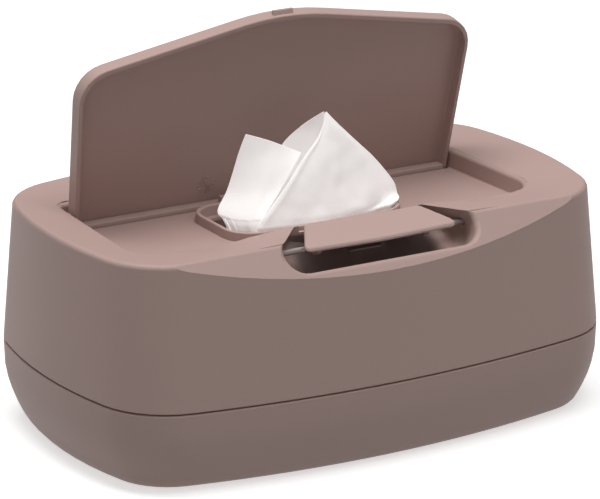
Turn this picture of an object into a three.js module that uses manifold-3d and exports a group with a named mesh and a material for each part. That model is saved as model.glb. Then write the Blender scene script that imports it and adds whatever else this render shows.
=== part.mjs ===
// A household wipes box: a deep tray, an upper housing that lifts off it for a refill, a wide lid that lies
// flush in the housing's top, and a rocking button that lets the lid go. The lid stands open, and the first
// wipe is pulled up through the slot. Millimetres, X to the right, Y to the back, Z up.
import * as THREE from 'three';
import { mergeVertices } from 'three/addons/utils/BufferGeometryUtils.js';
import Module from 'manifold-3d';

const wasm = await Module();
wasm.setup();

// Body: a rounded rectangle with bowed sides, widest at the seam
const HALF_LENGTH = 120;
const HALF_DEPTH = 77.9;
const BOW_LONG = 15.8;
const BOW_SHORT = 15.5;
const CORNER_RADIUS = 33.5;
const WALL = 2.2;
const RIM_Z = 94.4;
const TOP_INSET_X = 4.0;
const TOP_INSET_Y = 5.6;
const RIM_FILLET = 2.2;

// Tray: its sides tuck in towards the floor
const SEAM_Z = 34.7;
const SEAM_GAP = 0.5;
const SEAM_EDGE = 0.45;
const TUCK = 8.3;
const TUCK_HEIGHT = 30;
const FLOOR_EDGE = 1.8;
const LIP_HEIGHT = 6;
const LIP_WALL = 0.9;

// Feet: soft discs let into the underside
const FOOT_RADIUS = 7;
const FOOT_HEIGHT = 1.5;
const FOOT_PROUD = 0.6;
const FOOT_X = 78;
const FOOT_Y = 38;
const SEAT_CLEARANCE = 0.3;

// Recess for the lid, with a shallow dish from the outer rim down to its edge
const DECK_Z = 82;
const RECESS_EDGE_Z = 90;
const RECESS_FILLET = 1.8;
const LAND_RISE = 5.8;
const LAND_RISE_NEAR = 26;
const LAND_RISE_FAR = 68;
const LAND_RISE_DEPTH = 18;
const RECESS_FLOOR_FILLET = 1;

// Lid: outline of the closed lid, straight at the back and pointed at the front
const LID_HALF_WIDTH = 92.6;
const LID_TAPER = 3.5;
const LID_REAR_Y = 41.3;
const LID_SIDE_LENGTH = 72.2;
const LID_TIP_LENGTH = 89.4;
const LID_TIP_Y = LID_REAR_Y - LID_TIP_LENGTH;
const LID_CORNER = 14;
const LID_TIP_RADIUS = 110;
const LID_REAR_CORNER = 3;
const LID_TOP_Z = 90.3;
const LID_DEPTH = 7.2;
const LID_PLATE = 2;
const LID_FLANGE = 1.7;
const LID_EDGE = 1.4;
const LID_GAP = 0.9;
const LID_OPEN_DEG = 78;
const LID_REAR_CLEARANCE = 1.9;

// Hinge: stub pins on the lid in sockets in the recess's side walls
const HINGE_Y = 34;
const HINGE_Z = 87.5;
const PIN_RADIUS = 1.5;
const PIN_CLEARANCE = 0.3;
const PIN_REACH = 2.4;
const TROUGH_FRONT_Y = 29.7;
const TROUGH_DEPTH = 5.2;

// Collar round the mouth that the wipes are pulled through
const COLLAR_HALF_WIDTH = 41;
const COLLAR_FRONT_Y = -20;
const COLLAR_REAR_Y = 25.6;
const COLLAR_HEIGHT = 4;
const COLLAR_WALL = 2;
const COLLAR_CORNER = 13;
const LEDGE_WIDTH = 3;
const LEDGE_DROP = 0.8;
const STOP_HALF_WIDTH = 23;
const STOP_THICK = 2.6;
const STOP_HEIGHT = 5.3;

// Front facet, a flat cut across the bowed wall
const LAND_DEPTH = 12.9;
const FACET_TOP_Y = LID_TIP_Y - LAND_DEPTH;
const FACET_DEG = 47;
const FACET_FILLET = 2.5;

// Scoop under the button: sunk square to the facet, its sides splayed towards the front
const SCOOP_HALF_FRONT = 44;
const SCOOP_SPLAY_DEG = 51;
const SCOOP_DROP = 12.8;
const SCOOP_DEPTH = 15;
const SCOOP_RIM_FILLET = 2.6;
const SCOOP_FLOOR_FILLET = 4;
const SCOOP_CORNER = 8.5;
const SCOOP_SHOULDER = 7;
const SCOOP_REACH = 20;
const BRIDGE_WALL = 1.7;
const CATCH_NOTCH_HALF = 8;

// Button: a plate that rocks on a steel pin
const BUTTON_SETBACK = 0.1;
const BUTTON_LENGTH = 16.4;
const BUTTON_REAR_Y = LID_TIP_Y - BUTTON_SETBACK;
const BUTTON_FRONT_Y = BUTTON_REAR_Y - BUTTON_LENGTH;
const BUTTON_REAR_Z = 97;
const BUTTON_FRONT_Z = 92.7;
const BUTTON_THICK = 2.3;
const BUTTON_HALF_REAR = 27;
const BUTTON_GAP = 0.8;
const BUTTON_HALF_FRONT = 36;
const BUTTON_BOW = 1.2;
const BUTTON_CORNER = 2;
const EAR_X = 24;
const EAR_THICK = 2.2;
const EAR_RADIUS = 2.8;
const ROCKER_SETBACK = 6.9;
const ROCKER_Y = LID_TIP_Y - ROCKER_SETBACK;
const ROCKER_Z = 89;
const ROCKER_PIN_RADIUS = 1.25;
const ROCKER_PIN_REACH = 1.6;
const HOOK_HALF_WIDTH = 5;
const HOOK_THICK = 1.6;
const HOOK_DROP = 5.2;

// Catch on the lid's tip, under the button's hook when the lid is shut
const CATCH_HALF_WIDTH = 4.6;
const CATCH_REACH = 1.6;
const CATCH_TOP = 3.4;
const CATCH_HEIGHT = 2.6;

// Return spring: a coil round the rocker pin, one leg under the button and one on the wall behind
const SPRING_WIRE = 0.4;
const SPRING_TURNS = 6;
const SPRING_PITCH = 1.05;
const SPRING_X = 12;
const SPRING_LEG = 6;
const SPRING_LEG_RISE_DEG = 5;
const SPRING_TAIL_FALL_DEG = 37;

// Contents
const STACK_LENGTH = 190;
const STACK_DEPTH = 104;
const STACK_LAYERS = 9;
const STACK_LAYER_HEIGHT = 4.4;
const STACK_NOTCH = 1.1;
const WIPE_THICK = 1.6;
const WIPE_Y = 4;

const STEPS_SIDE = 4;
const STEPS_CORNER = 7;
const STEPS_LONG = 8;
const STEPS_ROUND = 6;
const BORE_SIDES = 20;
const BEYOND = 20;

const rad = THREE.MathUtils.degToRad;
const lerp = THREE.MathUtils.lerp;
const smoothstep = THREE.MathUtils.smoothstep;

// Geometry helpers

function toSolid(geometry) {
  const bare = geometry.clone();
  bare.deleteAttribute('normal');
  bare.deleteAttribute('uv');
  const merged = mergeVertices(bare, 1e-4);
  const vertProperties = new Float32Array(merged.attributes.position.array);
  const triVerts = new Uint32Array(merged.index.array);
  return new wasm.Manifold(new wasm.Mesh({ numProp: 3, vertProperties, triVerts }));
}

function toGeometry(solid) {
  const mesh = solid.getMesh();
  const geometry = new THREE.BufferGeometry();
  geometry.setAttribute('position', new THREE.BufferAttribute(new Float32Array(mesh.vertProperties), 3));
  geometry.setIndex(new THREE.BufferAttribute(new Uint32Array(mesh.triVerts), 1));
  geometry.computeVertexNormals();
  return geometry;
}

// A closed body through a list of rings, each a list of Vector3 in the same order, with a fan at each end
function loft(rings) {
  const count = rings[0].length;
  const points = rings.flat();
  const middle = (ring) => ring.reduce((sum, p) => sum.add(p), new THREE.Vector3()).divideScalar(count);
  const low = points.push(middle(rings[0])) - 1;
  const high = points.push(middle(rings.at(-1))) - 1;
  const index = [];
  for (let r = 0; r < rings.length - 1; r++) {
    for (let i = 0; i < count; i++) {
      const a = r * count + i;
      const b = r * count + (i + 1) % count;
      index.push(a, b, a + count, b, b + count, a + count);
    }
  }
  const last = (rings.length - 1) * count;
  for (let i = 0; i < count; i++) {
    const next = (i + 1) % count;
    index.push(low, next, i, high, last + i, last + next);
  }
  const geometry = new THREE.BufferGeometry().setFromPoints(points);
  geometry.setIndex(index);
  return geometry;
}

function ring(outline, z) {
  const height = typeof z === 'function' ? z : () => z;
  return outline.map((p) => new THREE.Vector3(p.x, p.y, height(p)));
}

function box(x0, x1, y0, y1, z0, z1) {
  const geometry = new THREE.BoxGeometry(x1 - x0, y1 - y0, z1 - z0);
  geometry.translate((x0 + x1) / 2, (y0 + y1) / 2, (z0 + z1) / 2);
  return toSolid(geometry);
}

// A profile in Y and Z, drawn out along X
function extrudeAlongX(points, x0, x1) {
  const shape = new THREE.Shape(points);
  const geometry = new THREE.ExtrudeGeometry(shape, { depth: x1 - x0, bevelEnabled: false });
  const basis = new THREE.Matrix4().makeBasis(
    new THREE.Vector3(0, 1, 0), new THREE.Vector3(0, 0, 1), new THREE.Vector3(1, 0, 0));
  geometry.applyMatrix4(basis);
  geometry.translate(x0, 0, 0);
  return toSolid(geometry);
}

// A profile in X and Z, drawn out along Y from y0 forward to y1
function extrudeAlongY(points, y0, y1) {
  const shape = new THREE.Shape(points);
  const geometry = new THREE.ExtrudeGeometry(shape, { depth: y0 - y1, bevelEnabled: false });
  const basis = new THREE.Matrix4().makeBasis(
    new THREE.Vector3(1, 0, 0), new THREE.Vector3(0, 0, 1), new THREE.Vector3(0, -1, 0));
  geometry.applyMatrix4(basis);
  geometry.translate(0, y0, 0);
  return toSolid(geometry);
}

// An outline in X and Y, drawn up from z0 to z1
function extrudeUp(points, z0, z1) {
  const geometry = new THREE.ExtrudeGeometry(new THREE.Shape(points), { depth: z1 - z0, bevelEnabled: false });
  geometry.translate(0, 0, z0);
  return toSolid(geometry);
}

function rodAlongX(radius, x0, x1, y, z) {
  const geometry = new THREE.CylinderGeometry(radius, radius, x1 - x0, BORE_SIDES);
  geometry.rotateZ(Math.PI / 2);
  geometry.translate((x0 + x1) / 2, y, z);
  return toSolid(geometry);
}

function arc(centre, radius, from, to, steps) {
  const points = [];
  for (let i = 0; i <= steps; i++) {
    const angle = lerp(from, to, i / steps);
    points.push(new THREE.Vector2(centre.x + radius * Math.cos(angle), centre.y + radius * Math.sin(angle)));
  }
  return points;
}

// A rounded rectangle whose four sides are arcs, point by point from the +X end
function bowedOutline(halfLength, halfDepth, bowLong, bowShort, corner) {
  const longRadius = (halfLength ** 2 + bowLong ** 2) / (2 * bowLong);
  const shortRadius = (halfDepth ** 2 + bowShort ** 2) / (2 * bowShort);
  const longCentre = new THREE.Vector2(0, halfDepth - longRadius);
  const shortCentre = new THREE.Vector2(halfLength - shortRadius, 0);
  const fromLong = longRadius - corner;
  const fromShort = shortRadius - corner;
  const apart = shortCentre.clone().sub(longCentre);
  const distance = apart.length();
  const along = (fromLong ** 2 - fromShort ** 2 + distance ** 2) / (2 * distance);
  const across = Math.sqrt(fromLong ** 2 - along ** 2);
  const u = apart.divideScalar(distance);
  const v = new THREE.Vector2(u.y, -u.x);
  const centre = longCentre.clone().addScaledVector(u, along).addScaledVector(v, across);
  const sideEnd = centre.clone().sub(shortCentre).angle();
  const longStart = centre.clone().sub(longCentre).angle();
  const quarter = [
    ...arc(shortCentre, shortRadius, 0, sideEnd, STEPS_SIDE),
    ...arc(centre, corner, sideEnd, longStart, STEPS_CORNER).slice(1),
    ...arc(longCentre, longRadius, longStart, Math.PI / 2, STEPS_LONG).slice(1),
  ];
  const mirror = (points, sx, sy) => points.map((p) => new THREE.Vector2(p.x * sx, p.y * sy));
  const back = [...quarter].reverse();
  return [
    ...quarter,
    ...mirror(back, -1, 1).slice(1),
    ...mirror(quarter, -1, -1).slice(1),
    ...mirror(back, 1, -1).slice(1, -1),
  ];
}

// A polygon of corners [x, y, radius] with each corner rounded, anticlockwise
function roundedPolygon(corners, steps = STEPS_ROUND) {
  const points = [];
  corners.forEach(([x, y, radius], i) => {
    const here = new THREE.Vector2(x, y);
    const [px, py] = corners.at(i - 1);
    const [nx, ny] = corners[(i + 1) % corners.length];
    const inward = new THREE.Vector2(px, py).sub(here).normalize();
    const outward = new THREE.Vector2(nx, ny).sub(here).normalize();
    const half = Math.acos(THREE.MathUtils.clamp(inward.dot(outward), -1, 1)) / 2;
    const bisector = inward.clone().add(outward).normalize();
    const centre = here.clone().addScaledVector(bisector, radius / Math.sin(half));
    const start = here.clone().addScaledVector(inward, radius / Math.tan(half)).sub(centre).angle();
    let end = here.clone().addScaledVector(outward, radius / Math.tan(half)).sub(centre).angle();
    if (end < start) end += 2 * Math.PI;
    points.push(...arc(centre, radius, start, end, steps));
  });
  return points;
}

// Body surfaces

function tuckAt(z) {
  return TUCK * Math.max(0, 1 - z / TUCK_HEIGHT) ** 2;
}

// The body's outer outline at a height, taken in by an extra amount
function bodyOutline(z, extra = 0) {
  const share = Math.max(0, (z - SEAM_Z) / (RIM_Z - SEAM_Z));
  const inset = extra + tuckAt(z);
  return bowedOutline(
    HALF_LENGTH - TOP_INSET_X * share - inset,
    HALF_DEPTH - TOP_INSET_Y * share - inset,
    BOW_LONG, BOW_SHORT - share, CORNER_RADIUS - 2.5 * share - inset);
}

// The lid's outline grown by an amount, with its back edge grown by its own amount
function lidOutline(grow = 0, growRear = grow, steps = STEPS_ROUND) {
  const side = LID_REAR_Y - LID_SIDE_LENGTH;
  const half = LID_HALF_WIDTH + grow;
  const halfRear = half - LID_TAPER;
  return roundedPolygon([
    [halfRear, LID_REAR_Y + growRear, Math.max(0.5, LID_REAR_CORNER + grow)],
    [-halfRear, LID_REAR_Y + growRear, Math.max(0.5, LID_REAR_CORNER + grow)],
    [-half, side - grow, LID_CORNER + grow],
    [0, LID_TIP_Y - grow, LID_TIP_RADIUS + grow],
    [half, side - grow, LID_CORNER + grow],
  ], steps);
}

// Half the lid's width along its side edges
function lidHalfAt(y) {
  return LID_HALF_WIDTH - LID_TAPER * (1 - (LID_REAR_Y - y) / LID_SIDE_LENGTH);
}

// How high the recess's edge lies: the land in front of the lid's tip rises towards the rim
function recessEdgeZ(p) {
  const nearMiddle = 1 - smoothstep(Math.abs(p.x), LAND_RISE_NEAR, LAND_RISE_FAR);
  const inFront = 1 - smoothstep(p.y, COLLAR_FRONT_Y - LAND_RISE_DEPTH, COLLAR_FRONT_Y);
  return RECESS_EDGE_Z + LAND_RISE * nearMiddle * inFront;
}

// Where the line from the middle of the recess to an outer point crosses the recess's edge
function onRecessEdge(p) {
  const edge = lidOutline(LID_GAP, LID_REAR_CLEARANCE);
  const middle = new THREE.Vector2(0, (LID_REAR_Y + LID_TIP_Y) / 2);
  const ray = new THREE.Vector2(p.x, p.y).sub(middle);
  for (let i = 0; i < edge.length; i++) {
    const a = edge[i].clone().sub(middle);
    const side = edge[(i + 1) % edge.length].clone().sub(edge[i]);
    const det = ray.cross(side);
    if (Math.abs(det) < 1e-9) continue;
    const t = a.cross(side) / det;
    const s = a.cross(ray) / det;
    if (t > 0 && s >= 0 && s <= 1) return middle.clone().addScaledVector(ray, t);
  }
  throw new Error('the recess lies outside the rim');
}

// A ring of the dish, from the rim (share 0) to the recess's edge (share 1) and on past it
function dishRing(outer, share, below) {
  return outer.map((p) => {
    const edge = onRecessEdge(p);
    const x = lerp(p.x, edge.x, share);
    const y = lerp(p.y, edge.y, share);
    return new THREE.Vector3(x, y, lerp(RIM_Z, recessEdgeZ(edge), share) - below);
  });
}

// The whole outside of the housing, or with an inset its inside
function housingBlock(inset, bottom, lowInset) {
  const rings = [];
  if (inset > 0) {
    const stepZ = SEAM_Z + LIP_HEIGHT + SEAT_CLEARANCE;
    rings.push(ring(bodyOutline(SEAM_Z, lowInset), bottom));
    rings.push(ring(bodyOutline(stepZ, lowInset), stepZ));
    rings.push(ring(bodyOutline(stepZ + 0.4, inset), stepZ + 0.4));
  } else {
    rings.push(ring(bodyOutline(bottom, SEAM_EDGE), bottom));
    rings.push(ring(bodyOutline(bottom, 0), bottom + SEAM_EDGE));
  }
  const fillet = Math.max(0.6, RIM_FILLET - inset);
  const shoulder = RIM_Z - inset - fillet;
  rings.push(ring(bodyOutline(lerp(SEAM_Z, shoulder, 0.55), inset), lerp(SEAM_Z, shoulder, 0.55)));
  let outer;
  for (let i = 0; i <= 4; i++) {
    const angle = rad(20 * i);
    outer = bodyOutline(shoulder, inset + fillet * (1 - Math.cos(angle)));
    rings.push(ring(outer, shoulder + fillet * Math.sin(angle)));
  }
  for (const share of [0.35, 0.7, 1.15]) rings.push(dishRing(outer, share, inset));
  return toSolid(loft(rings));
}

// The well that the lid lies in, with a rounded upper edge; grown outwards by the wall for the inside
function recessCut(grow = 0) {
  const at = (extra) => lidOutline(LID_GAP + grow + extra, LID_REAR_CLEARANCE + grow + extra);
  const rings = [];
  if (grow > 0) {
    rings.push(ring(at(0), DECK_Z - grow));
    rings.push(ring(at(0), RIM_Z + BEYOND));
    return toSolid(loft(rings));
  }
  rings.push(ring(at(-RECESS_FLOOR_FILLET), DECK_Z));
  rings.push(ring(at(-0.3 * RECESS_FLOOR_FILLET), DECK_Z + 0.3 * RECESS_FLOOR_FILLET));
  rings.push(ring(at(0), DECK_Z + RECESS_FLOOR_FILLET));
  for (let i = 0; i <= 4; i++) {
    const angle = rad(21 * i);
    const lift = RECESS_FILLET * (Math.sin(angle) - 1) + 0.25;
    rings.push(ring(at(RECESS_FILLET * (1 - Math.cos(angle))), (p) => recessEdgeZ(p) + lift));
  }
  rings.push(ring(at(RECESS_FILLET), RIM_Z + BEYOND));
  return toSolid(loft(rings));
}

// The trough behind the deck that the lid's back flange swings down into
function troughCut(grow = 0) {
  const half = lidHalfAt(LID_REAR_Y) + LID_GAP + grow;
  return box(-half, half, TROUGH_FRONT_Y - grow, LID_REAR_Y + LID_REAR_CLEARANCE + grow,
    DECK_Z - TROUGH_DEPTH - grow, DECK_Z + 1);
}

function facetCut(inset = 0) {
  const slope = rad(FACET_DEG);
  const run = FACET_FILLET * Math.tan(slope / 2);
  const centre = new THREE.Vector2(FACET_TOP_Y + run + inset * Math.tan(slope / 2), RIM_Z - inset - FACET_FILLET);
  const far = HALF_DEPTH + BEYOND;
  const curve = arc(centre, FACET_FILLET, Math.PI / 2, Math.PI / 2 + slope, STEPS_ROUND);
  const end = curve.at(-1);
  const reach = far + end.x;
  const points = [
    ...curve,
    new THREE.Vector2(-far, end.y - reach * Math.tan(slope)),
    new THREE.Vector2(-far, RIM_Z + BEYOND),
    new THREE.Vector2(centre.x, RIM_Z + BEYOND),
  ];
  return extrudeAlongX(points, -HALF_LENGTH - BEYOND, HALF_LENGTH + BEYOND);
}

// The wall left between the recess and the scoop, seen from above
function bridgeOutline(grow = 0) {
  return lidOutline(LID_GAP + BRIDGE_WALL - grow);
}

// The finger scoop: rings parallel to the facet, from a rounded floor up to a rounded rim. Grown by the
// wall, it is the outside of the pocket's own walls, and it never cuts into the bridge behind it.
function scoopCut(grow = 0) {
  const slope = rad(FACET_DEG);
  const taper = Math.tan(rad(SCOOP_SPLAY_DEG));
  const at = (extra, out) => {
    const wide = SCOOP_HALF_FRONT + extra;
    const narrow = wide - SCOOP_REACH * taper;
    const outline = roundedPolygon([
      [narrow, SCOOP_REACH, 2],
      [-narrow, SCOOP_REACH, 2],
      [-wide, 0, SCOOP_SHOULDER + extra],
      [-wide, -SCOOP_DROP - extra, SCOOP_CORNER + extra],
      [wide, -SCOOP_DROP - extra, SCOOP_CORNER + extra],
      [wide, 0, SCOOP_SHOULDER + extra],
    ]);
    return outline.map((p) => new THREE.Vector3(
      p.x,
      FACET_TOP_Y + p.y * Math.cos(slope) - out * Math.sin(slope),
      RIM_Z + p.y * Math.sin(slope) + out * Math.cos(slope)));
  };
  const rings = [];
  if (grow > 0) {
    rings.push(at(grow - SCOOP_FLOOR_FILLET / 2, -SCOOP_DEPTH - grow));
    rings.push(at(grow, SCOOP_FLOOR_FILLET / 2 - SCOOP_DEPTH - grow));
    rings.push(at(grow, BEYOND));
  } else {
    for (const degrees of [80, 60, 40, 20, 0]) {
      const angle = rad(degrees);
      rings.push(at(SCOOP_FLOOR_FILLET * (Math.cos(angle) - 1), SCOOP_FLOOR_FILLET * (1 - Math.sin(angle)) - SCOOP_DEPTH));
    }
    for (const degrees of [0, 20, 40, 60, 80]) {
      const angle = rad(degrees);
      rings.push(at(SCOOP_RIM_FILLET * (1 - Math.cos(angle)), SCOOP_RIM_FILLET * (Math.sin(angle) - 1) + 0.04));
    }
    rings.push(at(SCOOP_RIM_FILLET, BEYOND));
  }
  const bridge = extrudeUp(bridgeOutline(grow), -BEYOND, RIM_Z + 3 * BEYOND);
  return toSolid(loft(rings)).subtract(bridge);
}

function collarOutline(inset) {
  const half = COLLAR_HALF_WIDTH - inset;
  const corner = COLLAR_CORNER - inset;
  return roundedPolygon([
    [half, COLLAR_REAR_Y - inset, corner],
    [-half, COLLAR_REAR_Y - inset, corner],
    [-half, COLLAR_FRONT_Y + inset, corner],
    [half, COLLAR_FRONT_Y + inset, corner],
  ]);
}

function buildHousing() {
  const bottom = SEAM_Z + SEAM_GAP / 2;
  const skirt = WALL - LIP_WALL - SEAT_CLEARANCE;
  const inside = housingBlock(WALL, SEAM_Z - 5, skirt)
    .subtract(facetCut(WALL))
    .subtract(recessCut(WALL))
    .subtract(troughCut(WALL))
    .subtract(scoopCut(WALL));
  const rim = 0.6;
  const collar = toSolid(loft([
    ring(collarOutline(0), DECK_Z - WALL / 2),
    ring(collarOutline(0), DECK_Z + COLLAR_HEIGHT - rim),
    ring(collarOutline(rim * 0.3), DECK_Z + COLLAR_HEIGHT - rim * 0.3),
    ring(collarOutline(rim), DECK_Z + COLLAR_HEIGHT),
  ]));
  const mouth = toSolid(loft([
    ring(collarOutline(COLLAR_WALL), DECK_Z - LEDGE_DROP),
    ring(collarOutline(COLLAR_WALL), DECK_Z + COLLAR_HEIGHT - 0.5),
    ring(collarOutline(COLLAR_WALL - 0.5), DECK_Z + COLLAR_HEIGHT + 0.01),
    ring(collarOutline(COLLAR_WALL - 0.5), DECK_Z + COLLAR_HEIGHT + 1),
  ]));
  const slot = toSolid(loft([
    ring(collarOutline(COLLAR_WALL + LEDGE_WIDTH), DECK_Z - WALL - 1),
    ring(collarOutline(COLLAR_WALL + LEDGE_WIDTH), DECK_Z + 1),
  ]));
  const stop = box(-STOP_HALF_WIDTH, STOP_HALF_WIDTH, TROUGH_FRONT_Y - STOP_THICK, TROUGH_FRONT_Y - 0.2,
    DECK_Z - WALL / 2, DECK_Z + STOP_HEIGHT);
  const socketReach = lidHalfAt(HINGE_Y) + LID_GAP + WALL + 1;
  const sockets = rodAlongX(PIN_RADIUS + PIN_CLEARANCE, -socketReach, socketReach, HINGE_Y, HINGE_Z);
  const rockerReach = SCOOP_HALF_FRONT + WALL;
  const rockerBore = rodAlongX(ROCKER_PIN_RADIUS + PIN_CLEARANCE, -rockerReach, rockerReach, ROCKER_Y, ROCKER_Z);
  const bridgeFront = LID_TIP_Y - LID_GAP - BRIDGE_WALL - 1;
  const bridgeRear = LID_TIP_Y + LID_TIP_RADIUS / 20;
  const notch = box(-CATCH_NOTCH_HALF, CATCH_NOTCH_HALF, bridgeFront, bridgeRear,
    LID_TOP_Z - LID_DEPTH, RIM_Z + BEYOND);
  const underButton = box(-BUTTON_HALF_REAR - BUTTON_GAP, BUTTON_HALF_REAR + BUTTON_GAP, bridgeFront, bridgeRear,
    BUTTON_REAR_Z - BUTTON_THICK - 2 * BUTTON_GAP, RIM_Z + BEYOND);
  return housingBlock(0, bottom, 0)
    .subtract(facetCut())
    .subtract(recessCut())
    .subtract(troughCut())
    .subtract(scoopCut())
    .subtract(inside)
    .add(collar)
    .add(stop)
    .subtract(mouth)
    .subtract(slot)
    .subtract(sockets)
    .subtract(rockerBore)
    .subtract(notch)
    .subtract(underButton);
}

function buildTray() {
  const top = SEAM_Z - SEAM_GAP / 2;
  const levels = [2.6, 5, 8.5, 13, 18, 24];
  const outer = toSolid(loft([
    ring(bodyOutline(FOOT_PROUD, FLOOR_EDGE), FOOT_PROUD),
    ring(bodyOutline(FOOT_PROUD + 0.6, FLOOR_EDGE * 0.3), FOOT_PROUD + 0.6),
    ...levels.map((z) => ring(bodyOutline(z), z)),
    ring(bodyOutline(top - SEAM_EDGE), top - SEAM_EDGE),
    ring(bodyOutline(top, SEAM_EDGE), top),
  ]));
  const lipTop = SEAM_Z + LIP_HEIGHT;
  const lip = toSolid(loft([
    ring(bodyOutline(top - 1, WALL - LIP_WALL), top - 1),
    ring(bodyOutline(lipTop - 0.5, WALL - LIP_WALL), lipTop - 0.5),
    ring(bodyOutline(lipTop, WALL - LIP_WALL + 0.4), lipTop),
  ]));
  const floor = FOOT_PROUD + WALL;
  const inner = toSolid(loft([
    ring(bodyOutline(floor, WALL + 1.6), floor),
    ring(bodyOutline(floor + 0.5, WALL + 0.5), floor + 0.5),
    ...levels.slice(1).map((z) => ring(bodyOutline(z, WALL), z)),
    ring(bodyOutline(SEAM_Z, WALL), SEAM_Z),
    ring(bodyOutline(lipTop + 1, WALL), lipTop + 1),
  ]));
  let tray = outer.add(lip).subtract(inner);
  for (const [x, y] of footPlaces()) {
    const seat = new THREE.CylinderGeometry(FOOT_RADIUS + SEAT_CLEARANCE, FOOT_RADIUS + SEAT_CLEARANCE,
      2 * (FOOT_HEIGHT - FOOT_PROUD + SEAT_CLEARANCE), BORE_SIDES);
    seat.rotateX(Math.PI / 2);
    seat.translate(x, y, FOOT_PROUD);
    tray = tray.subtract(toSolid(seat));
  }
  return tray;
}

function footPlaces() {
  return [[-FOOT_X, -FOOT_Y], [FOOT_X, -FOOT_Y], [FOOT_X, FOOT_Y], [-FOOT_X, FOOT_Y]];
}

// A foot, turned about its own axis, with a rounded lower edge
function footGeometry() {
  const round = 0.5;
  const profile = [
    new THREE.Vector2(0, 0),
    new THREE.Vector2(FOOT_RADIUS - round, 0),
    new THREE.Vector2(FOOT_RADIUS, round),
    new THREE.Vector2(FOOT_RADIUS, FOOT_HEIGHT),
    new THREE.Vector2(0, FOOT_HEIGHT),
  ];
  const geometry = new THREE.LatheGeometry(profile, BORE_SIDES);
  geometry.rotateX(Math.PI / 2);
  return toGeometry(toSolid(geometry));
}

// The closed lid, drawn about its hinge axis
function buildLid() {
  const bottom = LID_TOP_Z - LID_DEPTH;
  const rings = [ring(lidOutline(-0.3), bottom), ring(lidOutline(0), bottom + 0.3)];
  for (let i = 0; i <= 4; i++) {
    const angle = rad(22.5 * i);
    const inset = LID_EDGE * (1 - Math.cos(angle));
    rings.push(ring(lidOutline(-inset), LID_TOP_Z - LID_EDGE * (1 - Math.sin(angle))));
  }
  const under = LID_TOP_Z - LID_PLATE;
  const hollow = toSolid(loft([
    ring(lidOutline(-LID_FLANGE), bottom - 1),
    ring(lidOutline(-LID_FLANGE), under - 1),
    ring(lidOutline(-LID_FLANGE - 0.3), under - 0.3),
    ring(lidOutline(-LID_FLANGE - 1), under),
  ]));
  const tip = lidOutline(0).reduce((low, p) => Math.min(low, p.y), 0);
  const catchTop = LID_TOP_Z - CATCH_TOP;
  const catchProfile = [
    new THREE.Vector2(tip + LID_FLANGE / 2, catchTop),
    new THREE.Vector2(tip - CATCH_REACH, catchTop - 0.3),
    new THREE.Vector2(tip - CATCH_REACH, catchTop - CATCH_HEIGHT / 2),
    new THREE.Vector2(tip + LID_FLANGE / 2, catchTop - CATCH_HEIGHT),
  ];
  const pinEnd = lidHalfAt(HINGE_Y) + PIN_REACH;
  const pinRoot = lidHalfAt(HINGE_Y) - LID_FLANGE / 2;
  return toSolid(loft(rings))
    .subtract(hollow)
    .add(extrudeAlongX(catchProfile, -CATCH_HALF_WIDTH, CATCH_HALF_WIDTH))
    .add(rodAlongX(PIN_RADIUS, pinRoot, pinEnd, HINGE_Y, HINGE_Z))
    .add(rodAlongX(PIN_RADIUS, -pinEnd, -pinRoot, HINGE_Y, HINGE_Z))
    .translate([0, -HINGE_Y, -HINGE_Z]);
}

// The button's plate: a bowed trapezoid that falls towards the front, with a rounded front lip
function buildButton() {
  const fall = (BUTTON_REAR_Z - BUTTON_FRONT_Z) / (BUTTON_REAR_Y - BUTTON_FRONT_Y);
  const topAt = (p) => BUTTON_REAR_Z - fall * (BUTTON_REAR_Y - p.y);
  const outline = (inset) => roundedPolygon([
    [BUTTON_HALF_REAR - inset, BUTTON_REAR_Y - inset, BUTTON_CORNER],
    [-BUTTON_HALF_REAR + inset, BUTTON_REAR_Y - inset, BUTTON_CORNER],
    [-BUTTON_HALF_FRONT + inset, BUTTON_FRONT_Y + inset, BUTTON_CORNER],
    [0, BUTTON_FRONT_Y - BUTTON_BOW + inset, 4 * BUTTON_HALF_FRONT],
    [BUTTON_HALF_FRONT - inset, BUTTON_FRONT_Y + inset, BUTTON_CORNER],
  ], 4);
  const round = BUTTON_THICK / 2;
  const rings = [];
  for (const degrees of [-80, -40, 0, 40, 80]) {
    const inset = round * (1 - Math.cos(rad(degrees)));
    rings.push(ring(outline(inset), (p) => topAt(p) - round + round * Math.sin(rad(degrees))));
  }
  let button = toSolid(loft(rings));
  const slab = BUTTON_THICK / 2;
  const earTop = topAt({ y: ROCKER_Y }) - slab;
  const ear = (x0) => rodAlongX(EAR_RADIUS, x0, x0 + EAR_THICK, ROCKER_Y, ROCKER_Z)
    .add(box(x0, x0 + EAR_THICK, ROCKER_Y - EAR_RADIUS, ROCKER_Y + EAR_RADIUS, ROCKER_Z, earTop));
  button = button.add(ear(EAR_X)).add(ear(-EAR_X - EAR_THICK));
  const hookFoot = BUTTON_REAR_Z - BUTTON_THICK - HOOK_DROP;
  const hookFront = BUTTON_REAR_Y - HOOK_THICK - 1;
  button = button.add(extrudeAlongX([
    new THREE.Vector2(hookFront, BUTTON_REAR_Z - BUTTON_THICK + 0.5),
    new THREE.Vector2(hookFront, hookFoot),
    new THREE.Vector2(hookFront + HOOK_THICK, hookFoot + 0.8),
    new THREE.Vector2(hookFront + HOOK_THICK, BUTTON_REAR_Z - BUTTON_THICK + 0.5),
  ], -HOOK_HALF_WIDTH, HOOK_HALF_WIDTH));
  const bore = rodAlongX(ROCKER_PIN_RADIUS + PIN_CLEARANCE, -EAR_X - BEYOND, EAR_X + BEYOND, ROCKER_Y, ROCKER_Z);
  return button.subtract(bore).translate([0, -ROCKER_Y, -ROCKER_Z]);
}

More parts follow.
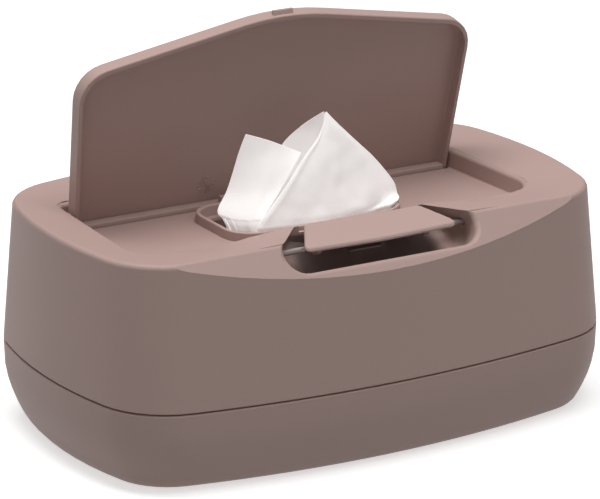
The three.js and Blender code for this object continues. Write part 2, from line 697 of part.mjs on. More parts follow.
// The front face of the wall behind the scoop, at a distance from the middle
function bridgeFrontAt(x) {
  const front = bridgeOutline().filter((p) => p.y < 0).sort((p, q) => p.x - q.x);
  const i = front.findIndex((p) => p.x > x);
  return lerp(front[i - 1].y, front[i].y, (x - front[i - 1].x) / (front[i].x - front[i - 1].x));
}

// The path of a torsion spring round the X axis: a straight leg, the coil, and a straight tail
class TorsionSpring extends THREE.Curve {
  constructor(radius, tailRun) {
    super();
    this.radius = radius;
    this.start = Math.PI / 2 + rad(SPRING_LEG_RISE_DEG);
    const end = Math.PI / 2 - rad(SPRING_TAIL_FALL_DEG);
    this.sweep = 2 * Math.PI * SPRING_TURNS + this.start - end;
    const tailStart = radius * Math.cos(end);
    this.tail = (tailRun - tailStart) / Math.cos(rad(SPRING_TAIL_FALL_DEG));
    this.coilLength = this.radius * this.sweep;
    this.length = SPRING_LEG + this.coilLength + this.tail;
  }

  onCoil(along) {
    const angle = this.start - along / this.radius;
    const x = SPRING_PITCH * (along / this.radius) / (2 * Math.PI);
    return new THREE.Vector3(x, this.radius * Math.cos(angle), this.radius * Math.sin(angle));
  }

  heading(along) {
    const angle = this.start - along / this.radius;
    return new THREE.Vector3(0, Math.sin(angle), -Math.cos(angle));
  }

  getPoint(t) {
    const along = t * this.length - SPRING_LEG;
    const onCoil = THREE.MathUtils.clamp(along, 0, this.coilLength);
    return this.onCoil(onCoil).addScaledVector(this.heading(onCoil), along - onCoil);
  }
}

function springGeometry() {
  const section = new THREE.Shape(arc(new THREE.Vector2(), SPRING_WIRE, 0, 2 * Math.PI, 6).slice(0, -1));
  const radius = ROCKER_PIN_RADIUS + SEAT_CLEARANCE + SPRING_WIRE;
  const end = SPRING_X + SPRING_PITCH * SPRING_TURNS;
  const tailRun = bridgeFrontAt(end) - SEAT_CLEARANCE - 2 * SPRING_WIRE - ROCKER_Y;
  const path = new TorsionSpring(radius, tailRun);
  const geometry = new THREE.ExtrudeGeometry(section, {
    steps: 14 * SPRING_TURNS, bevelEnabled: false, extrudePath: path,
  });
  return toGeometry(toSolid(geometry));
}

// The refill: a stack of folded wipes, each layer a soft-edged leaf on the last
function stackGeometry() {
  const rings = [];
  const outline = (inset) => roundedPolygon([
    [STACK_LENGTH / 2 - inset, STACK_DEPTH / 2 - inset, 4],
    [-STACK_LENGTH / 2 + inset, STACK_DEPTH / 2 - inset, 4],
    [-STACK_LENGTH / 2 + inset, -STACK_DEPTH / 2 + inset, 4],
    [STACK_LENGTH / 2 - inset, -STACK_DEPTH / 2 + inset, 4],
  ], 3);
  for (let i = 0; i < STACK_LAYERS; i++) {
    const z = i * STACK_LAYER_HEIGHT;
    rings.push(ring(outline(STACK_NOTCH), z));
    rings.push(ring(outline(0), z + STACK_LAYER_HEIGHT * 0.3));
    rings.push(ring(outline(0), z + STACK_LAYER_HEIGHT * 0.7));
  }
  rings.push(ring(outline(STACK_NOTCH), STACK_LAYERS * STACK_LAYER_HEIGHT));
  return loft(rings);
}

// The wipe that stands up out of the mouth: a thin folded leaf with two peaks
function wipeGeometry(stackTop) {
  const outline = [
    [-6, stackTop + SEAT_CLEARANCE], [6, stackTop + SEAT_CLEARANCE], [30, 76], [33, 84], [37, 88], [36, 97], [17, 119],
    [8, 126], [-7, 113], [-24, 117], [-29, 108], [-33, 90], [-30, 84], [-27, 76],
  ].map(([x, z]) => new THREE.Vector2(x, z));
  return extrudeAlongY(outline, WIPE_Y + WIPE_THICK, WIPE_Y);
}

// Assembly

const plastic = { roughness: 0.55, metalness: 0 };
const mauve = new THREE.MeshStandardMaterial({ color: 0xa48a80, ...plastic });
const mauveDark = new THREE.MeshStandardMaterial({ color: 0x9c8278, ...plastic });
const steel = new THREE.MeshStandardMaterial({ color: 0xb8bbbf, roughness: 0.3, metalness: 1 });
const rubber = new THREE.MeshStandardMaterial({ color: 0x6d625d, roughness: 0.9, metalness: 0 });
const cloth = new THREE.MeshStandardMaterial({ color: 0xf1efed, roughness: 0.95, metalness: 0 });

function piece(name, geometry, material) {
  const mesh = new THREE.Mesh(geometry, material);
  mesh.name = name;
  return mesh;
}

const wipesBox = new THREE.Group();
const upper = new THREE.Group();
wipesBox.add(upper);

wipesBox.add(piece('base_tray', toGeometry(buildTray()), mauve));
footPlaces().forEach(([x, y], i) => {
  const foot = piece(`foot_${i + 1}`, footGeometry(), rubber);
  foot.position.set(x, y, 0);
  wipesBox.add(foot);
});

const stackBase = FOOT_PROUD + WALL + SEAT_CLEARANCE;
const stack = piece('wipe_stack', stackGeometry(), cloth);
stack.position.z = stackBase;
wipesBox.add(stack);

upper.add(piece('housing', toGeometry(buildHousing()), mauve));

const lid = piece('lid', toGeometry(buildLid()), mauve);
lid.position.set(0, HINGE_Y, HINGE_Z);
lid.rotation.x = -rad(LID_OPEN_DEG);
upper.add(lid);

const button = piece('latch_button', toGeometry(buildButton()), mauveDark);
button.position.set(0, ROCKER_Y, ROCKER_Z);
upper.add(button);

const rockerHalf = SCOOP_HALF_FRONT + ROCKER_PIN_REACH;
upper.add(piece('latch_pin', toGeometry(rodAlongX(ROCKER_PIN_RADIUS, -rockerHalf, rockerHalf, ROCKER_Y, ROCKER_Z)), steel));

const spring = piece('latch_spring', springGeometry(), steel);
spring.position.set(SPRING_X, ROCKER_Y, ROCKER_Z);
upper.add(spring);

upper.add(piece('pulled_wipe', toGeometry(wipeGeometry(stackBase + STACK_LAYERS * STACK_LAYER_HEIGHT)), cloth));

export default wipesBox;
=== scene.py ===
# A dusty mauve wipes box, lid open, with the first wipe drawn up through its mouth.
import math

import bmesh
import bpy
from mathutils import Matrix, Vector, noise


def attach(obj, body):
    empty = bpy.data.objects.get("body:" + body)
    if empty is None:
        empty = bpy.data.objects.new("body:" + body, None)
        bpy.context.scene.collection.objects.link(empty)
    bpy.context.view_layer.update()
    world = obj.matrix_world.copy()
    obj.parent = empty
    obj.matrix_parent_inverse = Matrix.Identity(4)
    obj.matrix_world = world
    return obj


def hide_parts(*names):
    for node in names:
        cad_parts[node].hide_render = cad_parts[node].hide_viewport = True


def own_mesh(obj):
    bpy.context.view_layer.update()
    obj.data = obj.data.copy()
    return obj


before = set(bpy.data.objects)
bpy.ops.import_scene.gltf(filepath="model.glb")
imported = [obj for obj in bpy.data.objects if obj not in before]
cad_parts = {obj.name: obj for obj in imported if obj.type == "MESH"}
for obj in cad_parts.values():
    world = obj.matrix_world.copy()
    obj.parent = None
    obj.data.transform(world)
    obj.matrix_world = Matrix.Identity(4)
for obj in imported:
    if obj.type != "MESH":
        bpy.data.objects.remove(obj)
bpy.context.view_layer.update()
MM = 0.001

# Camera, fitted to the photograph: metres and radians
CAMERA_PLACE = Vector((-0.79377, -1.37106, 0.58774))
CAMERA_RIGHT = Vector((0.86564, -0.50067, 0.0))
CAMERA_BACK = Vector((-0.475754, -0.822566, 0.31152))
SENSOR_WIDTH = 36.0
LENS = 242.2

# Light: power in watts; sky levels by height, from straight down (0) to straight up (1)
OVERHEAD_PLACE = (-0.12, -0.06, 1.5)
OVERHEAD_SIZE = (1.5, 0.5)
OVERHEAD_POWER = 18.8
OVERHEAD_COLOUR = (1.0, 0.985, 0.975)
LEFT_PLACE = (-1.7, -0.5, 0.8)
LEFT_SIZE = (0.9, 0.7)
LEFT_POWER = 0.5
LEFT_COLOUR = (1.0, 0.99, 0.98)
LIGHT_AIM = (0.0, 0.0, 0.08)
SKY_STRENGTH = 1.0
SKY_STOPS = ((0.0, 0.385), (0.48, 0.365), (0.53, 0.14), (0.75, 0.26), (1.0, 0.5))
FLOOR_GLOW = 0.55
FLOOR_REACH = 6.0

# Colours of the moulded plastics, each with the warmer tone of its flow clouds, the scoop's painted shade, and
# the painted glow of the cloths, an emission that brightens them as if light came through
MAUVE = (0.455, 0.322, 0.292)
MAUVE_WARM = (0.47, 0.335, 0.303)
PALER = (0.475, 0.34, 0.308)
PALER_WARM = (0.49, 0.352, 0.32)
DEEP_SHADE = (0.02, 0.016, 0.015)
DRAWN_GLOW = 0.19
STACKED_GLOW = 0.08

# Sizes that the dressed pieces share with the frame, in millimetres
HINGE = Vector((0.0, 34.0, 87.5))
LID_OPEN = math.radians(78)
LID_UNDER = 88.3
EDGE_BEVEL = 0.35
KEEP_ANGLE = 34
REFILL_KEEP_ANGLE = 80
CLOTH_THICK = 0.35

# Mould marks on the shut lid's inner face: a ring of dashes round an arrow, and rings left by ejector pins
DATE_MARK = Vector((-26.3, 30.1, LID_UNDER))
DATE_DASHES = 12
DATE_RADIUS = 4.0
DASH_LENGTH = 1.3
MARK_WIDTH = 0.45
MARK_HEIGHT = 0.4
MARK_ROOT = 0.05
ARROW_TIP = Vector((1.3, 1.9, 0.0))
ARROW_BARB = 0.6
ARROW_BARB_TURN = 2.45
EJECTOR_MARKS = ((1.2, 3.8), (-62.0, 3.8), (62.0, 3.8))
EJECTOR_RADIUS = 3.2
EJECTOR_STEPS = 40
EJECTOR_WIDTH = 0.25
EJECTOR_HEIGHT = 0.05

# Rail along the lid's rear flange, in the open lid's place
RAIL_HALF_LENGTH = 87.5
RAIL_FRONT = 30.35
RAIL_REAR = 35.3
RAIL_FOOT = 81.6
RAIL_TOP = 83.9
RAIL_ROUND = 0.5

# Unevenness of the refill's folded layers: the longest edge and the depth of the waves
REFILL_GRAIN = 7.0
REFILL_WAVE = 0.8

# Sill across the notch behind the button
SILL_HALF_LENGTH = 8.2
SILL_FRONT = -49.0
SILL_REAR = -48.1
SILL_FOOT = 82.9
SILL_TOP = 85.0
SILL_EDGE = 0.25

# The scoop's painted shade, which darkens the housing's colour: the depth below the facet where it starts and is
# full, the least share of light, the half width where it is full and where it ends, and the box that holds it
FACET_TOP = Vector((0.0, -61.0, 94.4))
FACET_SLOPE = math.radians(47)
SHADE_START = 3.6
SHADE_FULL = 10.5
SHADE_LEAST = 0.3
SHADE_HALF = 29.0
SHADE_SIDE = 37.0
SHADE_LOW = 73.8
SHADE_TOP = 92.8
SHADE_FRONT = -70.0
SHADE_REAR = -45.0


# Shader maths: a socket with operators


class Sock:
    def __init__(self, tree, link):
        self.tree = tree
        self.link = link

    def _math(self, op, *others):
        return self.tree.node("ShaderNodeMath", {"operation": op}, {0: self, **dict(enumerate(others, 1))})

    def __add__(self, other):
        return self._math("ADD", other)

    __radd__ = __add__

    def __mul__(self, other):
        return self._math("MULTIPLY", other)

    __rmul__ = __mul__

    def __sub__(self, other):
        return self._math("SUBTRACT", other)

    def __rsub__(self, other):
        return (self * -1.0) + other

    def span(self, low, high, to_low=0.0, to_high=1.0):
        """The value carried from one span to another, smoothly, and held at the ends."""
        return self.tree.node(
            "ShaderNodeMapRange", {"interpolation_type": "SMOOTHSTEP"},
            {0: self, 1: low, 2: high, 3: to_low, 4: to_high})


class Finish:
    """A material and its node tree."""

    def __init__(self, name):
        self.material = bpy.data.materials.new(name)
        self.material.use_nodes = True
        self.nodes = self.material.node_tree.nodes
        self.links = self.material.node_tree.links
        self.shader = next(n for n in self.nodes if n.type == "BSDF_PRINCIPLED")
        self.place = Sock(self, self.nodes.new("ShaderNodeTexCoord").outputs["Object"])

    def node(self, kind, settings=None, inputs=None, out=0):
        made = self.nodes.new(kind)
        for key, value in (settings or {}).items():
            setattr(made, key, value)
        for key, value in (inputs or {}).items():
            self.put(made.inputs[key], value)
        return Sock(self, made.outputs[out])

    def put(self, socket, value):
        if isinstance(value, Sock):
            self.links.new(value.link, socket)
        else:
            socket.default_value = value

    def noise(self, scale, detail=2.0, rough=0.5, at=None):
        inputs = {"Vector": at or self.place, "Scale": scale, "Detail": detail, "Roughness": rough}
        return self.node("ShaderNodeTexNoise", {"noise_dimensions": "3D"}, inputs)

    def mix(self, factor, first, second):
        """Two colours blended by a factor."""
        made = self.nodes.new("ShaderNodeMix")
        made.data_type = "RGBA"
        self.put(made.inputs[0], factor)
        self.put(made.inputs[6], first)
        self.put(made.inputs[7], second)
        return Sock(self, made.outputs[2])

    def bump(self, height, strength, distance, under=None):
        inputs = {"Height": height, "Strength": strength, "Distance": distance}
        if under is not None:
            inputs["Normal"] = under
        return self.node("ShaderNodeBump", {}, inputs)

    def set(self, **values):
        for key, value in values.items():
            self.put(self.shader.inputs[key.replace("_", " ")], value)
        return self.material


def rgba(red, green, blue):
    return (red, green, blue, 1.0)


def scoop_shade(f):
    """1 on the open faces, falling to the least share of light deep in the finger scoop."""
    turned = f.node("ShaderNodeVectorMath", {"operation": "SUBTRACT"}, {0: f.place, 1: FACET_TOP * MM})
    inward = (0.0, math.sin(FACET_SLOPE), -math.cos(FACET_SLOPE))
    depth = f.node("ShaderNodeVectorMath", {"operation": "DOT_PRODUCT"}, {0: turned, 1: inward}, out=1)
    parts = f.nodes.new("ShaderNodeSeparateXYZ")
    f.put(parts.inputs[0], f.place)
    x, y, z = (Sock(f, parts.outputs[k]) for k in range(3))
    aside = f.node("ShaderNodeMath", {"operation": "ABSOLUTE"}, {0: x})
    within = aside.span(SHADE_SIDE * MM, SHADE_HALF * MM)
    under = z.span(SHADE_TOP * MM, (SHADE_TOP - 1.5) * MM)
    over = z.span(SHADE_LOW * MM, (SHADE_LOW + 0.5) * MM)
    behind = y.span(SHADE_FRONT * MM, (SHADE_FRONT + 0.8) * MM)
    before = y.span((SHADE_REAR + 1.0) * MM, SHADE_REAR * MM)
    shade = depth.span(SHADE_START * MM, SHADE_FULL * MM) * within * (under * over) * (behind * before)
    return 1.0 - shade * (1.0 - SHADE_LEAST)


def moulded_plastic(name, base, warm, shaded=False):
    """Matt moulded plastic: fine spark texture, faint flow clouds, rougher where it is clouded."""
    f = Finish(name)
    clouds = f.noise(9.0, 3.0, 0.55)
    grain = f.noise(1900.0, 2.0, 0.6)
    soft = f.noise(420.0, 2.0, 0.5)
    colour = f.mix(clouds.span(0.3, 0.7), base, warm)
    speck = f.mix(grain.span(0.35, 0.65, 0.0, 0.10), colour, rgba(*[c * 0.7 for c in base[:3]]))
    # Painted shade: deep in the finger scoop the colour darkens towards DEEP_SHADE
    if shaded:
        speck = f.mix(scoop_shade(f), rgba(*DEEP_SHADE), speck)
    normal = f.bump(soft, 0.05, 0.0004, f.bump(grain, 0.16, 0.00012))
    f.put(f.shader.inputs["Specular IOR Level"], 0.34)
    return f.set(Base_Color=speck, Roughness=clouds.span(0.25, 0.75, 0.5, 0.58), Normal=normal)


def drawn_steel(name):
    """Bright drawn steel with fine lines along it."""
    f = Finish(name)
    lines = f.noise(900.0, 2.0, 0.6)
    shade = f.mix(lines, rgba(0.36, 0.31, 0.29), rgba(0.46, 0.4, 0.375))
    return f.set(Base_Color=shade, Metallic=0.6, Roughness=lines.span(0.2, 0.8, 0.42, 0.6),
                 Normal=f.bump(lines, 0.1, 0.0001))


def soft_rubber(name):
    """Matt foot rubber, lightly dusted."""
    f = Finish(name)
    dust = f.noise(160.0, 3.0, 0.6)
    shade = f.mix(dust.span(0.45, 0.75), rgba(0.10, 0.085, 0.078), rgba(0.17, 0.15, 0.14))
    return f.set(Base_Color=shade, Roughness=dust.span(0.2, 0.8, 0.75, 0.92),
                 Normal=f.bump(f.noise(1500.0), 0.2, 0.0001))


def nonwoven(name, glow):
    """Damp nonwoven cloth: matted fibres and faint pressed dots. The glow is painted light, an emission that
    brightens the cloth as if light came through it.
    """
    f = Finish(name)
    stretch = f.node("ShaderNodeVectorMath", {"operation": "MULTIPLY"}, {0: f.place, 1: (1.0, 0.35, 2.4)})
    fibres = f.noise(950.0, 3.0, 0.65, at=stretch)
    felt = f.noise(260.0, 3.0, 0.6)
    dots = f.node("ShaderNodeTexVoronoi", {"feature": "DISTANCE_TO_EDGE"},
                  {"Vector": f.place, "Scale": 620.0})
    shade = f.mix(fibres.span(0.3, 0.7), rgba(0.90, 0.875, 0.865), rgba(0.94, 0.92, 0.91))
    damp = f.mix(felt.span(0.5, 0.8, 0.0, 0.5), shade, rgba(0.86, 0.835, 0.825))
    normal = f.bump(dots.span(0.0, 0.25), 0.08, 0.0002, f.bump(fibres, 0.2, 0.00025))
    f.put(f.shader.inputs["Sheen Weight"], 0.12)
    f.put(f.shader.inputs["Emission Color"], rgba(1.0, 0.965, 0.955))
    f.put(f.shader.inputs["Emission Strength"], glow)
    return f.set(Base_Color=damp, Roughness=0.85, Normal=normal)


def studio_floor(name):
    """White studio card, evenly lit."""
    f = Finish(name)
    haze = f.noise(2.0, 2.0, 0.5)
    f.put(f.shader.inputs["Emission Color"], rgba(1.0, 1.0, 1.0))
    f.put(f.shader.inputs["Emission Strength"], FLOOR_GLOW)
    return f.set(Base_Color=f.mix(haze, rgba(0.70, 0.70, 0.70), rgba(0.72, 0.72, 0.72)), Roughness=0.8)


# Mesh helpers


def new_object(name, mesh, material):
    obj = bpy.data.objects.new(name, mesh)
    bpy.context.scene.collection.objects.link(obj)
    mesh.materials.clear()
    mesh.materials.append(material)
    return obj


def from_points(name, points, faces, material):
    """An object from points in millimetres."""
    mesh = bpy.data.meshes.new(name)
    mesh.from_pydata([Vector(p) * MM for p in points], [], faces)
    mesh.validate()
    for polygon in mesh.polygons:
        polygon.use_smooth = True
    return new_object(name, mesh, material)


def prism(name, profile, half_length, material):
    """A bar along x whose section is a list of (y, z) points."""
    count = len(profile)
    points = [(x, y, z) for x in (-half_length, half_length) for y, z in profile]
    faces = [(k, (k + 1) % count, count + (k + 1) % count, count + k) for k in range(count)]
    faces += [tuple(range(count))[::-1], tuple(range(count, 2 * count))]
    bar = from_points(name, points, faces, material)
    bar.data.set_sharp_from_angle(angle=math.radians(KEEP_ANGLE))
    return bar


def refined(node, name, material, bevel=EDGE_BEVEL, keep_angle=KEEP_ANGLE):
    """A piece over its CAD node: the same form, welded, with its sharp edges broken by a small radius."""
    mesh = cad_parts[node].data.copy()
    mesh.name = name
    obj = new_object(name, mesh, material)
    bm = bmesh.new()
    bm.from_mesh(mesh)
    bmesh.ops.remove_doubles(bm, verts=bm.verts, dist=2e-6)
    bmesh.ops.dissolve_limit(bm, angle_limit=math.radians(0.6), verts=bm.verts, edges=bm.edges)
    for face in bm.faces:
        face.smooth = True
    bm.to_mesh(mesh)
    bm.free()
    if mesh.has_custom_normals:
        bpy.context.view_layer.objects.active = obj
        bpy.ops.mesh.customdata_custom_splitnormals_clear()
    mesh.set_sharp_from_angle(angle=math.radians(keep_angle))
    if bevel:
        modifier = obj.modifiers.new("broken_edges", "BEVEL")
        modifier.width = bevel * MM
        modifier.segments = 2
        modifier.limit_method = "ANGLE"
        modifier.angle_limit = math.radians(keep_angle)
        modifier.use_clamp_overlap = True
    weights = obj.modifiers.new("even_shading", "WEIGHTED_NORMAL")
    weights.mode = "FACE_AREA"
    weights.weight = 80
    weights.keep_sharp = True
    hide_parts(node)
    return obj


def closed_to_open(point):
    """A point of the shut lid, in millimetres, where the open lid holds it."""
    turn = Matrix.Rotation(-LID_OPEN, 3, "X")
    return HINGE + turn @ (Vector(point) - HINGE)


def mark_bar(bm, start, end, width=MARK_WIDTH, height=MARK_HEIGHT):
    """A low bar with sloped sides on the lid's inner face, from one point of the shut lid to another."""
    start, end = Vector(start), Vector(end)
    along = (end - start).normalized()
    side = Vector((-along.y, along.x, 0.0))
    down = Vector((0.0, 0.0, -1.0))
    corners = ((start, -1, 1), (end, -1, -1), (end, 1, -1), (start, 1, 1))
    root = [bm.verts.new(closed_to_open(p + side * (k * 0.5 * width) - down * MARK_ROOT) * MM)
            for p, k, inward in corners]
    face = [bm.verts.new(closed_to_open(p + along * (inward * 0.08) + side * (k * 0.25 * width) + down * height)
                         * MM) for p, k, inward in corners]
    bm.faces.new(face)
    for i in range(4):
        j = (i + 1) % 4
        bm.faces.new((root[i], root[j], face[j], face[i]))
    bm.faces.new(root[::-1])


def build_lid_marks(material):
    """The mould's date dial, without figures, and the faint rings of its ejector pins."""
    bm = bmesh.new()
    for k in range(DATE_DASHES):
        angle = 2 * math.pi * k / DATE_DASHES
        out = Vector((math.cos(angle), math.sin(angle), 0.0))
        mark_bar(bm, DATE_MARK + out * (DATE_RADIUS - DASH_LENGTH), DATE_MARK + out * DATE_RADIUS)
    mark_bar(bm, DATE_MARK - ARROW_TIP, DATE_MARK + ARROW_TIP)
    for turn in (ARROW_BARB_TURN, -ARROW_BARB_TURN):
        barb = Matrix.Rotation(turn, 3, "Z") @ (ARROW_TIP * ARROW_BARB)
        mark_bar(bm, DATE_MARK + ARROW_TIP, DATE_MARK + ARROW_TIP + barb)
    for x, y in EJECTOR_MARKS:
        points = []
        for k in range(EJECTOR_STEPS):
            angle = 2 * math.pi * k / EJECTOR_STEPS
            points.append(Vector((x + EJECTOR_RADIUS * math.cos(angle), y + EJECTOR_RADIUS * math.sin(angle),
                                  LID_UNDER)))
        for k in range(EJECTOR_STEPS):
            mark_bar(bm, points[k], points[(k + 1) % EJECTOR_STEPS], EJECTOR_WIDTH, EJECTOR_HEIGHT)
    mesh = bpy.data.meshes.new("lid_mould_marks")
    bmesh.ops.recalc_face_normals(bm, faces=bm.faces)
    bm.to_mesh(mesh)
    bm.free()
    return new_object("lid_mould_marks", mesh, material)


def build_lid_rail(material):
    """The rounded rail along the lid's rear flange, which shows behind the deck when the lid stands open."""
    profile = [(RAIL_FRONT, RAIL_FOOT), (RAIL_REAR, RAIL_FOOT), (RAIL_REAR, RAIL_TOP)]
    for k in range(5):
        angle = math.pi / 2 + math.pi / 8 * k
        profile.append((RAIL_FRONT + RAIL_ROUND + RAIL_ROUND * math.cos(angle),
                        RAIL_TOP - RAIL_ROUND + RAIL_ROUND * math.sin(angle)))
    return prism("lid_rear_rail", profile, RAIL_HALF_LENGTH, material)


def build_sill(material):
    """The low sill across the notch that the button's hook reaches through."""
    profile = [(SILL_FRONT, SILL_FOOT), (SILL_REAR, SILL_FOOT), (SILL_REAR, SILL_TOP - SILL_EDGE),
               (SILL_REAR - SILL_EDGE, SILL_TOP), (SILL_FRONT + SILL_EDGE, SILL_TOP),
               (SILL_FRONT, SILL_TOP - SILL_EDGE)]
    return prism("notch_sill", profile, SILL_HALF_LENGTH, material)


# Stage


def light(name, place, size, power, colour):
    data = bpy.data.lights.new(name, "AREA")
    data.energy = power
    data.color = colour
    data.shape = "RECTANGLE"
    data.size, data.size_y = size
    obj = bpy.data.objects.new(name, data)
    bpy.context.scene.collection.objects.link(obj)
    obj.location = place
    obj.rotation_euler = (Vector(LIGHT_AIM) - Vector(place)).to_track_quat("-Z", "Y").to_euler()


def build_sky():
    """A studio's surroundings by height: dim walls, a bright ceiling and a pale floor's light from below."""
    world = bpy.data.worlds.new("studio")
    bpy.context.scene.world = world
    world.use_nodes = True
    nodes, links = world.node_tree.nodes, world.node_tree.links
    height = nodes.new("ShaderNodeSeparateXYZ")
    links.new(nodes.new("ShaderNodeTexCoord").outputs["Generated"], height.inputs[0])
    ramp = nodes.new("ShaderNodeMapRange")
    ramp.inputs[1].default_value = -1.0
    links.new(height.outputs[2], ramp.inputs[0])
    shades = nodes.new("ShaderNodeValToRGB")
    links.new(ramp.outputs[0], shades.inputs[0])
    stops = shades.color_ramp.elements
    for stop, (at, level) in zip(stops, (SKY_STOPS[0], SKY_STOPS[-1])):
        stop.position = at
        stop.color = rgba(level, level, level)
    for at, level in SKY_STOPS[1:-1]:
        stops.new(at).color = rgba(level, level, level)
    links.new(shades.outputs[0], nodes["Background"].inputs[0])
    nodes["Background"].inputs[1].default_value = SKY_STRENGTH


def build_stage():
    build_sky()
    light("overhead", OVERHEAD_PLACE, OVERHEAD_SIZE, OVERHEAD_POWER, OVERHEAD_COLOUR)
    light("left_fill", LEFT_PLACE, LEFT_SIZE, LEFT_POWER, LEFT_COLOUR)
    mesh = bpy.data.meshes.new("floor")
    corners = [(x * FLOOR_REACH, y * FLOOR_REACH, 0) for x, y in ((-1, -1), (1, -1), (1, 1), (-1, 1))]
    mesh.from_pydata(corners, [], [(0, 1, 2, 3)])
    floor = new_object("floor", mesh, studio_floor("pale_floor"))
    floor.visible_diffuse = False
    bpy.context.scene.view_settings.view_transform = "Standard"


def build_camera():
    data = bpy.data.cameras.new("camera")
    data.sensor_fit = "HORIZONTAL"
    data.sensor_width = SENSOR_WIDTH
    data.lens = LENS
    data.clip_start = 0.05
    data.clip_end = 50.0
    camera = bpy.data.objects.new("camera", data)
    bpy.context.scene.collection.objects.link(camera)
    right = CAMERA_RIGHT.normalized()
    back = CAMERA_BACK.normalized()
    up = back.cross(right)
    turn = Matrix((right, up, back)).transposed().to_4x4()
    camera.matrix_world = Matrix.Translation(CAMERA_PLACE) @ turn
    bpy.context.scene.camera = camera


# The wipe


def spline(points, t):
    """A Catmull-Rom curve through points, at t from 0 to 1."""
    last = len(points) - 1
    at = min(max(t, 0.0), 1.0) * last
    i = min(int(at), last - 1)
    u = at - i
    p0, p1 = Vector(points[max(i - 1, 0)]), Vector(points[i])
    p2, p3 = Vector(points[i + 1]), Vector(points[min(i + 2, last)])
    return 0.5 * ((2 * p1) + (p2 - p0) * u + (2 * p0 - 5 * p1 + 4 * p2 - p3) * u * u
                  + (3 * p1 - 3 * p2 + p3 - p0) * u ** 3)


def leaf(columns, across, down, seed, folds=(), belly=0.0, crumple=0.5):
    """A grid over edge curves that run top to bottom, with soft crumples and creases down it.

    A crease is its place across, drift, width, depth in millimetres, and where down the leaf it starts.
    """
    grid = []
    for j in range(down + 1):
        v = j / down
        row = [spline(column, v) for column in columns]
        for i in range(across + 1):
            u = i / across
            p = spline(row, u)
            push = belly * math.sin(math.pi * u) * math.sin(math.pi * min(1.0, v * 0.9 + 0.1))
            for place, drift, width, depth, start in folds:
                deep = min(1.0, max(0.0, (v - start) / 0.3))
                push += depth * math.exp(-((u - place - drift * v) / width) ** 2) * deep
            wave = noise.noise(p * 0.05 + Vector((seed, 0, 0))) * crumple
            fine = noise.noise(p * 0.17 + Vector((0, seed, 0))) * crumple * 0.35
            grid.append(p + Vector((0.0, (wave + fine) * (1.0 + v) - push, 0.0)))
    faces = []
    for j in range(down):
        for i in range(across):
            a = j * (across + 1) + i
            faces.append((a, a + 1, a + across + 2, a + across + 1))
    return grid, faces


# Edge curves of the drawn wipe, top to bottom, in millimetres
WIPE_LEFT = [(-22.2, 7, 119.6), (-25.3, 6.6, 113.6), (-32.2, 5, 98.2), (-38.9, 0.9, 91.2), (-38.0, -1.8, 88.2),
             (-37.2, -3.3, 85.6), (-36.2, -3.6, 82.6), (-31, -4, 76)]
WIPE_LEFT_MID = [(-12.0, 4.2, 115.8), (-16.5, 2.8, 109), (-24.5, -1, 97), (-32.5, -5, 89.6), (-33.0, -6.4, 87.4),
                 (-32.8, -7.4, 85), (-31.6, -7.8, 82.2), (-27, -6, 76)]
WIPE_LEFT_HIDDEN = [(-0.2, 0.0, 110.2), (-5.5, -3.4, 106), (-14.0, -6.0, 97), (-23.5, -10.0, 89.4),
                    (-24.8, -10.6, 87.4), (-25.5, -11.0, 85), (-25.0, -10.5, 82.2), (-22, -7, 76)]
WIPE_RIDGE = [(11.4, 1.2, 124.6), (10.0, -0.4, 121.2), (6.0, -2.6, 116.2), (-1.4, -4.8, 110.4),
              (-10.2, -8.0, 102.6), (-18.6, -10.6, 95.2), (-27.6, -13.8, 88.0), (-28.5, -14.0, 84),
              (-25, -8, 76)]
WIPE_FRONT = [(11.7, 1.0, 125.2), (11.8, -1.6, 120.6), (11.0, -4.0, 114.6), (8.0, -7.0, 107.0),
              (3.4, -10.2, 99.0), (-1.6, -13.0, 92.0), (-6.4, -15.0, 86.4), (-7, -14.6, 83), (-6, -8, 76)]
WIPE_RIGHT_MID = [(12.0, 1.1, 125.4), (15.6, -1.0, 120.6), (20.0, -3.0, 114.2), (23.8, -5.2, 106.6),
                  (25.0, -8.4, 98.6), (24.0, -12.0, 91.4), (21.0, -14.6, 86.6), (19.0, -14.4, 83),
                  (16, -8, 76)]
WIPE_RIGHT = [(12.4, 1.2, 125.5), (17.0, 0.5, 120.3), (21.4, -0.4, 115.7), (27.6, -0.8, 109.6),
              (34.0, -1.3, 103.3), (41.6, -3.4, 93.2), (42.4, -5.7, 88.0), (38.2, -12.6, 86.9), (29, -8, 77)]
WIPE_BACK_LEFT = [(11.6, 2.6, 125.3), (3.2, 6.5, 119.2), (-5.5, 8.5, 111.0), (-10, 8, 98), (-14, 6, 86),
                  (-14, 3, 76)]
WIPE_BACK_RIGHT = [(12.0, 2.2, 125.4), (12.6, 2.5, 118), (10, 3, 108), (6, 4, 97), (4, 4, 86), (3, 3, 76)]


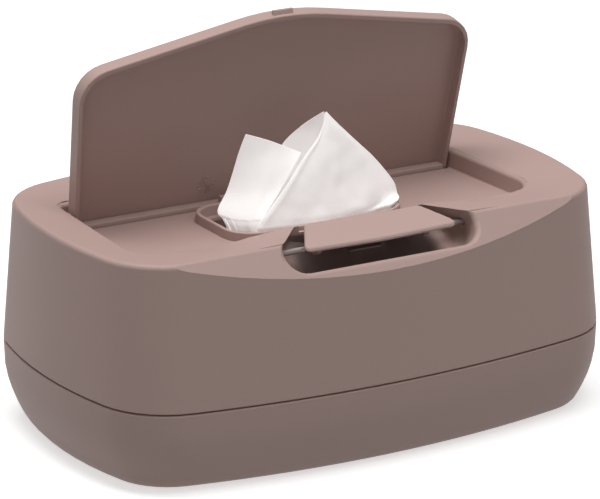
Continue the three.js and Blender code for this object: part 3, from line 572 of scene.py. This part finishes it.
def build_wipe(material):
    """The wipe drawn up from the mouth: a left leaf, a folded peak behind it, and a broad leaf in front."""
    parts = [
        leaf([WIPE_LEFT, WIPE_LEFT_MID, WIPE_LEFT_HIDDEN], 40, 70, 3.1, belly=0.3,
             folds=((0.07, 0.06, 0.035, 1.1, 0.55), (0.2, -0.04, 0.035, -0.8, 0.5),
                    (0.3, 0.03, 0.03, 0.5, 0.4), (0.62, 0.12, 0.06, 0.3, 0.0))),
        leaf([WIPE_RIDGE, WIPE_FRONT, WIPE_RIGHT_MID, WIPE_RIGHT], 70, 90, 7.7, belly=0.5,
             folds=((0.05, 0.0, 0.045, 0.5, 0.0), (0.46, -0.05, 0.05, 0.3, 0.1), (0.8, 0.03, 0.05, -0.3, 0.2),
                    (0.92, 0.0, 0.03, 0.5, 0.5))),
        leaf([WIPE_BACK_LEFT, WIPE_BACK_RIGHT], 24, 40, 11.4, crumple=0.3),
    ]
    points, faces = [], []
    for grid, quads in parts:
        start = len(points)
        points += grid
        faces += [tuple(start + k for k in quad) for quad in quads]
    wipe = from_points("drawn_wipe", points, faces, material)
    thick = wipe.modifiers.new("cloth_thickness", "SOLIDIFY")
    thick.thickness = CLOTH_THICK * MM
    thick.offset = 0.0
    wipe.modifiers.new("soft", "SUBSURF").render_levels = 1
    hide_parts("pulled_wipe")
    return wipe


def build_refill(material):
    """The refill over its CAD solid: the same folded layers, with the cloth's slight waves pressed inward."""
    refill = refined("wipe_stack", "folded_wipes", material, bevel=0, keep_angle=REFILL_KEEP_ANGLE)
    mesh = refill.data
    bm = bmesh.new()
    bm.from_mesh(mesh)
    bmesh.ops.triangulate(bm, faces=bm.faces)
    for _ in range(6):
        long_edges = [edge for edge in bm.edges if edge.calc_length() > REFILL_GRAIN * MM]
        if long_edges:
            bmesh.ops.subdivide_edges(bm, edges=long_edges, cuts=1)
            bmesh.ops.triangulate(bm, faces=[face for face in bm.faces if len(face.verts) > 3])
    bm.normal_update()
    for vert in bm.verts:
        wave = noise.noise(vert.co * 28.0) + 0.5 * noise.noise(vert.co * 90.0)
        vert.co -= vert.normal * (REFILL_WAVE * MM * (0.5 + 0.33 * wave))
    bm.to_mesh(mesh)
    bm.free()
    return refill


def main():
    mauve = moulded_plastic("mauve_plastic", rgba(*MAUVE), rgba(*MAUVE_WARM))
    housing_mauve = moulded_plastic("housing_mauve_plastic", rgba(*MAUVE), rgba(*MAUVE_WARM), shaded=True)
    paler = moulded_plastic("button_plastic", rgba(*PALER), rgba(*PALER_WARM))
    steel = drawn_steel("drawn_steel")
    rubber = soft_rubber("foot_rubber")
    lit_cloth = nonwoven("drawn_wipe_cloth", DRAWN_GLOW)
    inner_cloth = nonwoven("stacked_wipe_cloth", STACKED_GLOW)
    build_camera()
    build_stage()
    mouldings = (("housing", "upper", housing_mauve), ("base_tray", "tray", mauve), ("lid", "lid", mauve))
    for node, body, finish in mouldings:
        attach(refined(node, f"{node}_moulding", finish), body)
    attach(refined("latch_button", "button_moulding", paler), "button")
    for piece in (build_lid_marks(mauve), build_lid_rail(mauve)):
        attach(piece, "lid")
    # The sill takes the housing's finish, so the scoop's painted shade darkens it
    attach(build_sill(housing_mauve), "upper")
    for node, finish in (("latch_pin", steel), ("latch_spring", steel), ("foot_1", rubber), ("foot_2", rubber),
                         ("foot_3", rubber), ("foot_4", rubber)):
        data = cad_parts[node].data
        data.materials.clear()
        data.materials.append(finish)
    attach(build_refill(inner_cloth), "tray")
    wipe = build_wipe(lit_cloth)
    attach(wipe, "upper")
    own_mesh(wipe)


main()
